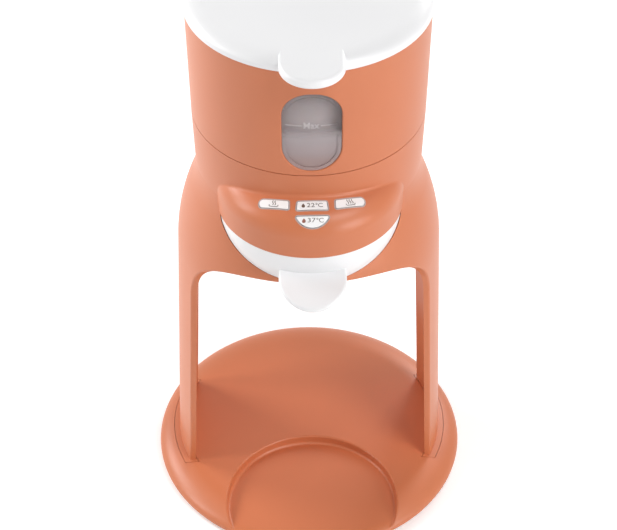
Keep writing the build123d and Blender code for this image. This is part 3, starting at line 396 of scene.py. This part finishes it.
# ---- Electrics
# Two green glass-fibre boards, black moulded parts on them, a thermostat and a two-pole inlet at the back.
# Lacquer pools between the copper runs, so a board shows faint straight lines and a patchy shine.
def board_lacquer():
    """Solder lacquer over copper runs: a brick pattern in two greens, glossy with dull patches."""
    material = bpy.data.materials.new("board_lacquer")
    material.use_nodes = True
    tree = material.node_tree
    shader = tree.nodes["Principled BSDF"]
    shader.inputs["Coat Weight"].default_value = 0.4
    place = tree.nodes.new("ShaderNodeTexCoord")
    runs = tree.nodes.new("ShaderNodeTexBrick")
    runs.inputs["Scale"].default_value = 160.0
    runs.inputs["Mortar Size"].default_value = 0.03
    runs.inputs["Color1"].default_value = (0.012, 0.13, 0.05, 1.0)
    runs.inputs["Color2"].default_value = (0.02, 0.17, 0.07, 1.0)
    runs.inputs["Mortar"].default_value = (0.1, 0.3, 0.14, 1.0)
    patches = tree.nodes.new("ShaderNodeTexNoise")
    patches.inputs["Scale"].default_value = 120.0
    roughness = tree.nodes.new("ShaderNodeMapRange")
    roughness.inputs["To Min"].default_value = 0.2
    roughness.inputs["To Max"].default_value = 0.5
    tree.links.new(place.outputs["Object"], runs.inputs["Vector"])
    tree.links.new(place.outputs["Object"], patches.inputs["Vector"])
    tree.links.new(runs.outputs["Color"], shader.inputs["Base Color"])
    tree.links.new(patches.outputs["Fac"], roughness.inputs["Value"])
    tree.links.new(roughness.outputs["Result"], shader.inputs["Roughness"])
    return material


dress(board_lacquer(), "button_board", "power_board")
black_plastic = moulded(
    "black_plastic",
    (0.022, 0.022, 0.024),
    roughness=0.4,
    grain_depth=0.00002,
    grain_scale=1600.0,
    roughness_spread=0.15,
    shade_spread=0.2,
)
dress(black_plastic, "board_components", "tact_switches", "thermostat", "power_inlet")

# ---- Control housing: band and hood
# One moulding carries the buttons on its sloping hood; it plugs into the neck of the shoulders.
# Same terracotta ABS; the seam below it is a plain butt joint.
dress(terracotta, "control_housing")

# ---- Buttons and their surrounds
# Four white caps, each in a thin surround that lines its hole in the hood; the surround's grey-brown is a
# painted shade of the gap round the cap.
# Polished a little brighter than the hood, and thumbed smooth.
button_plastic = moulded("button_plastic", (0.93, 0.93, 0.93), roughness=0.32, grain_depth=0.000006)
dress(button_plastic, "button_left", "button_centre", "button_right", "button_lower")
# Grey-brown painted shade: the surround's colour stands in for the shade in the gap round each cap.
surround_gap_shade = moulded("surround_gap_shade", (0.52, 0.42, 0.40), roughness=0.5)
dress(surround_gap_shade, "button_surrounds")

# ---- Signs on the buttons
# Printed ink, a few hundredths of a millimetre thick: a drop and a temperature on the two middle caps,
# and a bowl with rising steam on the outer two. The caps follow the hood: a cone with a round front edge.
hood_axis_y = -0.0217
hood_crown = 0.2374
hood_slope = radians(24.0)
hood_round = 0.012
hood_round_reach = 0.0339  # from the hood's axis to the middle of its round edge
hood_round_height = hood_crown - hood_round_reach * tan(hood_slope) - hood_round / cos(hood_slope)
cap_proud = 0.00035
ink_lift = 0.00003
ink_thickness = 0.00005


def height_on_caps(x, y, lift):
    """Height of the caps' faces: a cone about the hood's axis, and a circle's arc beyond the cone's foot."""
    grow = cap_proud + lift
    reach = np.hypot(x, y - hood_axis_y)
    arc_radius = hood_round + grow
    cone = hood_crown + grow / cos(hood_slope) - reach * tan(hood_slope)
    beyond = reach - hood_round_reach
    arc = hood_round_height + np.sqrt(np.maximum(arc_radius**2 - beyond**2, 0.0))
    return np.where(beyond < arc_radius * sin(hood_slope), cone, arc)


def laid_on_cap(flat, sign_place, sign_turn, sign_slope):
    """Puts flat points (across, up, proud) on a cap: up shortened by the slope, both turned in plan."""
    across, up, proud = flat[:, 0], flat[:, 1] * cos(sign_slope), flat[:, 2]
    x = sign_place[0] + across * cos(sign_turn) - up * sin(sign_turn)
    y = sign_place[1] + across * sin(sign_turn) + up * cos(sign_turn)
    return np.column_stack([x, y, height_on_caps(x, y, ink_lift + proud)])


def as_mesh(name, points, faces):
    """A mesh from an array of points and a list of faces."""
    mesh = bpy.data.meshes.new(name)
    mesh.from_pydata(points.tolist(), [], faces)
    mesh.validate()
    return mesh


def filled(curve, name):
    """The area inside a flat curve, as (points, faces)."""
    holder = bpy.data.objects.new(name, curve)
    mesh = bpy.data.meshes.new_from_object(holder)
    points = np.empty(len(mesh.vertices) * 3)
    mesh.vertices.foreach_get("co", points)
    faces = [tuple(face.vertices) for face in mesh.polygons]
    bpy.data.objects.remove(holder)
    bpy.data.curves.remove(curve)
    bpy.data.meshes.remove(mesh)
    return points.reshape(-1, 3), faces


def lettering(text, low_x, high_x, middle_y, height, swell=-0.004):
    """Flat signs between two sides: the font's outlines, swollen or thinned, filled and stretched to fit."""
    curve = bpy.data.curves.new(text, "FONT")
    curve.body = text
    curve.offset = swell
    curve.resolution_u = 3
    points, faces = filled(curve, text)
    low, high = points.min(axis=0), points.max(axis=0)
    points[:, 0] = low_x + (points[:, 0] - low[0]) / (high[0] - low[0]) * (high_x - low_x)
    points[:, 1] = middle_y + ((points[:, 1] - low[1]) / (high[1] - low[1]) - 0.5) * height
    return points, faces


def shape(*outlines):
    """A flat shape inside closed outlines of (x, y) points; one outline inside another cuts a hole in it."""
    curve = bpy.data.curves.new("outline", "CURVE")
    curve.dimensions = "2D"
    curve.fill_mode = "BOTH"
    for outline in outlines:
        spline = curve.splines.new("POLY")
        spline.points.add(len(outline) - 1)
        flat = np.column_stack([outline, np.zeros(len(outline)), np.ones(len(outline))])
        spline.points.foreach_set("co", flat.ravel())
        spline.use_cyclic_u = True
    return filled(curve, "outline")


def stroke(path, width):
    """A ribbon of even width along a path: its points moved half the width to each side, joined by quads."""
    along = np.gradient(path, axis=0)
    along /= np.linalg.norm(along, axis=1, keepdims=True)
    sideways = np.column_stack([-along[:, 1], along[:, 0]]) * width / 2
    points = np.concatenate([path + sideways, path - sideways])
    left = np.arange(len(path) - 1)
    right = left + len(path)
    faces = np.column_stack([left, right, right + 1, left + 1])
    return np.column_stack([points, np.zeros(len(points))]), [tuple(face) for face in faces.tolist()]


def together(parts):
    """Several flat shapes as one set of points and faces."""
    firsts = np.cumsum([0] + [len(points) for points, _ in parts])
    faces = []
    for first, (_, part_faces) in zip(firsts, parts):
        faces += [tuple(corner + first for corner in face) for face in part_faces]
    return np.concatenate([points for points, _ in parts]), faces


def drop(middle_x, middle_y, width, height):
    """A falling drop: half width sin t * sin(t / 2), height cos t, from its point round to its point."""
    t = np.linspace(0.0, 2 * pi, 33)[:-1]
    widest = 0.77  # the most that sin t * sin(t / 2) reaches
    x = middle_x + width / 2 * np.sin(t) * np.sin(t / 2) / widest
    return shape(np.column_stack([x, middle_y + height / 2 * np.cos(t)]))


degree_radius = 0.00046
degree_line = 0.0002
figures_end = 0.49  # shares of the room between the two sides
degree_middle = 0.607
letter_start = 0.70


def temperature(figures, low_x, high_x, middle_y, height):
    """Two figures, a small ring and a C side by side, each with its share of the room between two sides."""
    room = high_x - low_x
    t = np.linspace(0.0, 2 * pi, 25)[:-1]
    circle = np.column_stack([np.cos(t), np.sin(t)])
    middle = np.array([low_x + degree_middle * room, middle_y + height / 2 - degree_radius])
    ring = shape(middle + degree_radius * circle, middle + (degree_radius - degree_line) * circle)
    number = lettering(figures, low_x, low_x + figures_end * room, middle_y, height)
    letter = lettering("C", low_x + letter_start * room, high_x, middle_y, height)
    return together([number, ring, letter])


sign_line = 0.0003
bowl_width = 0.0043
bowl_depth = 0.0010
bowl_power = 5
bowl_rim = -0.0005
steam_foot = -0.0007
steam_height = 0.0023
steam_sway = 0.0003
steam_gap = 0.0011


def steaming_bowl(wisps):
    """A bowl, the lower half of |x|^power + |y|^power = 1, and wisps x = sway * sin(2 pi h) over it."""
    t = np.linspace(0.0, pi, 25)
    side = np.sign(np.cos(t)) * np.abs(np.cos(t)) ** (2 / bowl_power)
    down = np.abs(np.sin(t)) ** (2 / bowl_power)
    bowl = np.column_stack([bowl_width / 2 * side, bowl_rim - bowl_depth * down])
    parts = [stroke(bowl, sign_line)]
    h = np.linspace(0.0, 1.0, 17)
    for place in (np.arange(wisps) - (wisps - 1) / 2) * steam_gap:
        wisp = np.column_stack([place + steam_sway * np.sin(2 * pi * h), steam_foot + steam_height * h])
        parts.append(stroke(wisp, sign_line))
    return together(parts)


def ink(name, tint):
    """Pad-printed ink: matt and slightly uneven in depth of colour."""
    return moulded(
        name,
        tint,
        roughness=0.55,
        grain_depth=0.000004,
        grain_scale=4000.0,
        roughness_spread=0.1,
        shade_spread=0.18,
    )


def finished_sign(name, mesh, material, body):
    """Gives a printed or raised piece its ink and thickness, and rides it on the body that carries it."""
    piece = bpy.data.objects.new(name, mesh)
    bpy.context.scene.collection.objects.link(piece)
    mesh.materials.append(material)
    thickness = piece.modifiers.new("thickness", "SOLIDIFY")
    thickness.thickness = ink_thickness
    thickness.offset = 1.0
    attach(piece, body)


grey_ink = ink("grey_ink", (0.11, 0.09, 0.08))
warm_ink = ink("warm_ink", (0.13, 0.08, 0.06))
red_ink = ink("red_ink", (0.28, 0.11, 0.08))
side_turn = radians(14.8)
lower_slope = radians(46.0)
left_place = (-0.018, -0.0546)  # the caps' middles, seen from above
right_place = (0.018, -0.0546)
centre_place = (0.0, -0.0572)
lower_place = (0.0, hood_axis_y - hood_round_reach - hood_round * sin(lower_slope))
cool_drop = drop(middle_x=-0.0042, middle_y=-0.0001, width=0.0016, height=0.0021)
warm_drop = drop(middle_x=-0.0041, middle_y=0.0005, width=0.0017, height=0.0022)
cool_degrees = temperature("22", low_x=-0.0025, high_x=0.0050, middle_y=0.0, height=0.0021)
warm_degrees = temperature("37", low_x=-0.0023, high_x=0.0052, middle_y=0.0006, height=0.0022)
signs = (
    ("left_sign", steaming_bowl(2), grey_ink, "left_button", left_place, -side_turn, hood_slope),
    ("right_sign", steaming_bowl(3), grey_ink, "right_button", right_place, side_turn, hood_slope),
    ("centre_drop", cool_drop, warm_ink, "centre_button", centre_place, 0.0, hood_slope),
    ("centre_degrees", cool_degrees, grey_ink, "centre_button", centre_place, 0.0, hood_slope),
    ("lower_drop", warm_drop, red_ink, "lower_button", lower_place, 0.0, lower_slope),
    ("lower_degrees", warm_degrees, grey_ink, "lower_button", lower_place, 0.0, lower_slope),
)
for name, (flat_points, faces), material, body, place, turned_by, slope in signs:
    mesh = as_mesh(name, laid_on_cap(flat_points, place, turned_by, slope), faces)
    finished_sign(name, mesh, material, body)

# ---- Drawer
# A white crescent with a dished thumb pull in front, and the mixing tray that slides in behind it.
# Glossy white ABS, polished so that milk powder rinses off.
white_plastic = moulded("white_plastic", (0.86, 0.86, 0.87), roughness=0.3, grain_depth=0.000008)
dress(white_plastic, "drawer_front", "drawer_tray")

# ---- Water tank and its level mark
# A frosted cup that hangs in the sleeve, with a thin raised line and the word Max inked pale on its front.
# Light goes a little way into the wall, so it looks cloudy rather than clear.
frosted = milky("frosted_tank", (0.58, 0.51, 0.52), roughness=0.34, scatter=0.3, reach=0.003)
dress(frosted, "water_tank")
body_axis_y = 0.0045
tank_wall_radius = 0.05025
level_height = 0.2600
level_line = 0.0006
level_half_length = 0.0122
level_gap = 0.0043  # from the middle to where the line starts
word_half_width = 0.0037
word_height = 0.0036
word_rise = 0.0002  # its middle above the line's


def laid_on_tank(flat):
    """Wraps flat points round the tank's front: across becomes an angle, up a height, proud a radius."""
    angle = flat[:, 0] / tank_wall_radius
    radius = tank_wall_radius + ink_lift + flat[:, 2]
    y = body_axis_y - radius * np.cos(angle)
    return np.column_stack([radius * np.sin(angle), y, level_height + flat[:, 1]])


level_parts = [lettering("Max", -word_half_width, word_half_width, word_rise, word_height, swell=0.016)]
for side in (-1, 1):
    across = side * np.linspace(level_gap, level_half_length, 9)
    level_parts.append(stroke(np.column_stack([across, np.zeros_like(across)]), level_line))
level_points, level_faces = together(level_parts)
level_mark = as_mesh("level_mark", laid_on_tank(level_points), level_faces)
pale_mark = ink("pale_mark", (1.0, 0.96, 0.96))
finished_sign("level_mark", level_mark, pale_mark, "appliance")

# ---- Tank sleeve and its window
# The terracotta sleeve round the tank, with a smoky pane let into it to show the water's level.
# The pane is tinted SAN with a glossy skin: clearest above the tank's foot, and cloudy below it, where its
# brown is a painted reflection of the terracotta; it darkens towards the top as a painted shadow of the
# sleeve's rim.
dress(terracotta, "tank_sleeve")
pane_foot, pane_head = (corner[2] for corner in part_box("window_pane"))
pane_tint_and_painted_light = (  # height, colour and cover: the tint, with the lowest rows browner as painted reflection of the terracotta and the highest darker as painted shadow of the sleeve's rim
    (0.2430, (0.52, 0.38, 0.365), 0.55),
    (0.2500, (0.52, 0.43, 0.435), 0.55),
    (0.2565, (0.53, 0.465, 0.475), 0.51),
    (0.2635, (0.57, 0.51, 0.515), 0.12),
    (0.2730, (0.34, 0.30, 0.30), 0.18),
    (0.2820, (0.17, 0.145, 0.14), 0.32),
)


def smoky_pane():
    """Tinted see-through plastic, glossy with fine scuffs; its colour and cover follow the table of heights,
    which adds a painted reflection low down and a painted shadow at the top.
    """
    material = moulded(
        "smoky_pane", pane_tint_and_painted_light[0][1], roughness=0.1, grain_depth=0.000002, grain_scale=900.0
    )
    tree = material.node_tree
    shader = tree.nodes["Principled BSDF"]
    shader.inputs["IOR"].default_value = 1.56
    place = tree.nodes.new("ShaderNodeTexCoord")
    axes = tree.nodes.new("ShaderNodeSeparateXYZ")
    share = tree.nodes.new("ShaderNodeMapRange")
    share.inputs["From Min"].default_value = pane_foot
    share.inputs["From Max"].default_value = pane_head
    ramp = tree.nodes.new("ShaderNodeValToRGB")
    ramp.color_ramp.interpolation = "EASE"
    stops = ramp.color_ramp.elements
    for step, (height, tint, cover) in enumerate(pane_tint_and_painted_light):
        up = (height - pane_foot) / (pane_head - pane_foot)
        stop = stops[step] if step < 2 else stops.new(up)  # a new ramp has two stops
        stop.position = up
        stop.color = (*tint, cover)
    tree.links.new(place.outputs["Object"], axes.inputs["Vector"])
    tree.links.new(axes.outputs["Z"], share.inputs["Value"])
    tree.links.new(share.outputs["Result"], ramp.inputs["Fac"])
    tree.links.new(ramp.outputs["Color"], shader.inputs["Base Color"])
    tree.links.new(ramp.outputs["Alpha"], shader.inputs["Alpha"])
    return material


dress(smoky_pane(), "window_pane")

# ---- Lid
# A shallow white dome with a thumb tab, lifted straight off to fill the tank; a silicone ring seals it.
# Same white ABS as the drawer.
dress(white_plastic, "lid")
